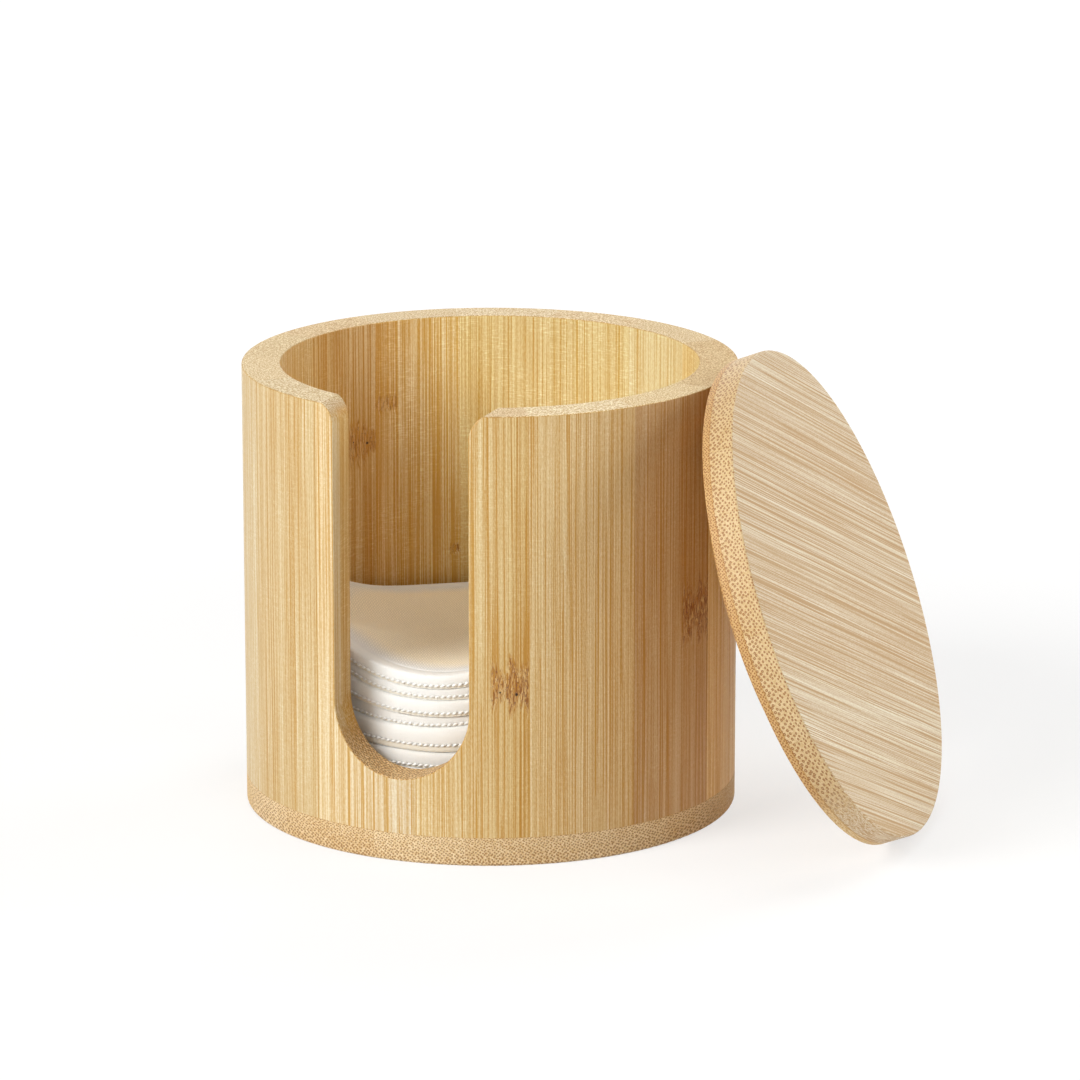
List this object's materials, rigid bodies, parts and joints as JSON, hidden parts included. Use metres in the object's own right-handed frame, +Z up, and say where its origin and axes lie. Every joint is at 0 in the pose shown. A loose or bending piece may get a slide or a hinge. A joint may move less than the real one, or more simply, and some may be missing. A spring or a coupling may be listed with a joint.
{
  "type": "makeup pad dispenser",
  "caption": "Round bamboo pot with a U-shaped slot in its front wall, a lift-off plug lid leaning on the rim, and a stack of washable make-up pads inside.",
  "frame": {"origin": "centre of the base's underside, on the surface that the pot stands on", "axes": "+Z up along the pot's axis; the slot faces -Y; the lid leans on the +X side"},
  "size_m": [0.1496, 0.107, 0.1009],
  "materials": {
    "bamboo_wall": "turned and sanded bamboo, clear matt oil",
    "bamboo_base": "turned bamboo, end grain at the edge",
    "bamboo_lid": "sanded bamboo, clear matt oil",
    "pad_knit": "brushed white knit",
    "pad_terry": "white terry",
    "pad_thread": "white overlock thread"
  },
  "bodies": {
    "dispenser": {"wall_stave_01": "bamboo_wall", "wall_stave_02": "bamboo_wall", "wall_stave_03": "bamboo_wall", "wall_stave_04": "bamboo_wall", "wall_stave_05": "bamboo_wall", "wall_stave_06": "bamboo_wall", "wall_stave_07": "bamboo_wall", "wall_stave_08": "bamboo_wall", "wall_stave_09": "bamboo_wall", "wall_stave_10": "bamboo_wall", "wall_stave_11": "bamboo_wall", "wall_stave_12": "bamboo_wall", "wall_stave_13": "bamboo_wall", "wall_stave_14": "bamboo_wall", "base_lower_ply": "bamboo_base", "base_upper_ply": "bamboo_base"},
    "lid": {"lid_top_ply": "bamboo_lid", "lid_under_ply": "bamboo_lid"},
    "pad_1": {"pad_1_top_cloth": "pad_knit", "pad_1_under_cloth": "pad_terry", "pad_1_edge_thread": "pad_thread"},
    "pad_2": {"pad_2_top_cloth": "pad_knit", "pad_2_under_cloth": "pad_terry", "pad_2_edge_thread": "pad_thread"},
    "pad_3": {"pad_3_top_cloth": "pad_knit", "pad_3_under_cloth": "pad_terry", "pad_3_edge_thread": "pad_thread"},
    "pad_4": {"pad_4_top_cloth": "pad_knit", "pad_4_under_cloth": "pad_terry", "pad_4_edge_thread": "pad_thread"},
    "pad_5": {"pad_5_top_cloth": "pad_knit", "pad_5_under_cloth": "pad_terry", "pad_5_edge_thread": "pad_thread"},
    "pad_6": {"pad_6_top_cloth": "pad_knit", "pad_6_under_cloth": "pad_terry", "pad_6_edge_thread": "pad_thread"},
    "pad_7": {"pad_7_top_cloth": "pad_knit", "pad_7_under_cloth": "pad_terry", "pad_7_edge_thread": "pad_thread"},
    "pad_8": {"pad_8_top_cloth": "pad_knit", "pad_8_under_cloth": "pad_terry", "pad_8_edge_thread": "pad_thread"},
    "pad_9": {"pad_9_top_cloth": "pad_knit", "pad_9_under_cloth": "pad_terry", "pad_9_edge_thread": "pad_thread"}
  },
  "joints": [
    {"name": "lid_lift", "type": "slide", "parent": "dispenser", "child": "lid", "axis": [0, 0, 1], "range_m": [0, 0.12]},
    {"name": "pad_1_lift", "type": "slide", "parent": "dispenser", "child": "pad_1", "axis": [0, 0, 1], "range_m": [0, 0.0891]},
    {"name": "pad_2_lift", "type": "slide", "parent": "pad_1", "child": "pad_2", "axis": [0, 0, 1], "range_m": [0, 0.0858]},
    {"name": "pad_3_lift", "type": "slide", "parent": "pad_2", "child": "pad_3", "axis": [0, 0, 1], "range_m": [0, 0.0825]},
    {"name": "pad_4_lift", "type": "slide", "parent": "pad_3", "child": "pad_4", "axis": [0, 0, 1], "range_m": [0, 0.0792]},
    {"name": "pad_5_lift", "type": "slide", "parent": "pad_4", "child": "pad_5", "axis": [0, 0, 1], "range_m": [0, 0.0759]},
    {"name": "pad_6_lift", "type": "slide", "parent": "pad_5", "child": "pad_6", "axis": [0, 0, 1], "range_m": [0, 0.0726]},
    {"name": "pad_7_lift", "type": "slide", "parent": "pad_6", "child": "pad_7", "axis": [0, 0, 1], "range_m": [0, 0.0693]},
    {"name": "pad_8_lift", "type": "slide", "parent": "pad_7", "child": "pad_8", "axis": [0, 0, 1], "range_m": [0, 0.066]},
    {"name": "pad_9_lift", "type": "slide", "parent": "pad_8", "child": "pad_9", "axis": [0, 0, 1], "range_m": [0, 0.0627]}
  ]
}
